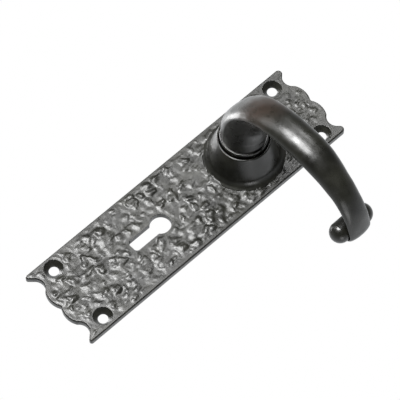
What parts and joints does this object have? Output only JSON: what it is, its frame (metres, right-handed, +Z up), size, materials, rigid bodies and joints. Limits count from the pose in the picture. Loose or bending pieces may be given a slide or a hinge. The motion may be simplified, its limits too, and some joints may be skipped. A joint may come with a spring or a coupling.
{
  "type": "door lever handle",
  "caption": "Sprung lever handle on a long scalloped backplate with a keyhole, in hammered black cast iron, with a scrolled grip.",
  "frame": {"origin": "on the spindle's axis, in the plane of the door's face that the backplate lies on", "axes": "+X along the lever, +Z up the door, and the front of the handle faces -Y, so the door is on the +Y side"},
  "size_m": [0.107, 0.0718, 0.1733],
  "materials": {
    "hammered_black_iron": "hammered cast iron, semi-gloss black coating",
    "black_iron": "smooth cast iron, satin black coating",
    "bronze": "plain turned bronze",
    "nylon": "natural nylon",
    "zinc_steel": "bright zinc plate",
    "plain_steel": "ground steel",
    "spring_steel": "oiled dark spring steel"
  },
  "bodies": {
    "plate": {"backplate": "hammered_black_iron", "boss_bush": "bronze", "thrust_washer": "nylon", "anchor_pin": "plain_steel", "stop_pins": "plain_steel", "return_spring": "spring_steel", "rear_cover": "zinc_steel", "cover_screws": "zinc_steel"},
    "handle": {"lever": "black_iron", "spring_sleeve": "nylon", "drive_plate": "zinc_steel", "spring_post": "plain_steel", "dished_washer": "spring_steel", "circlip": "spring_steel"}
  },
  "joints": [
    {"name": "lever_turn", "type": "hinge", "parent": "plate", "child": "handle", "pos_m": [0, 0, 0], "axis": [0, 1, 0], "range_deg": [0, 45], "stiffness_Nm_per_rad": 0.345, "springref_deg": -68.75, "deforming": ["return_spring"]}
  ]
}
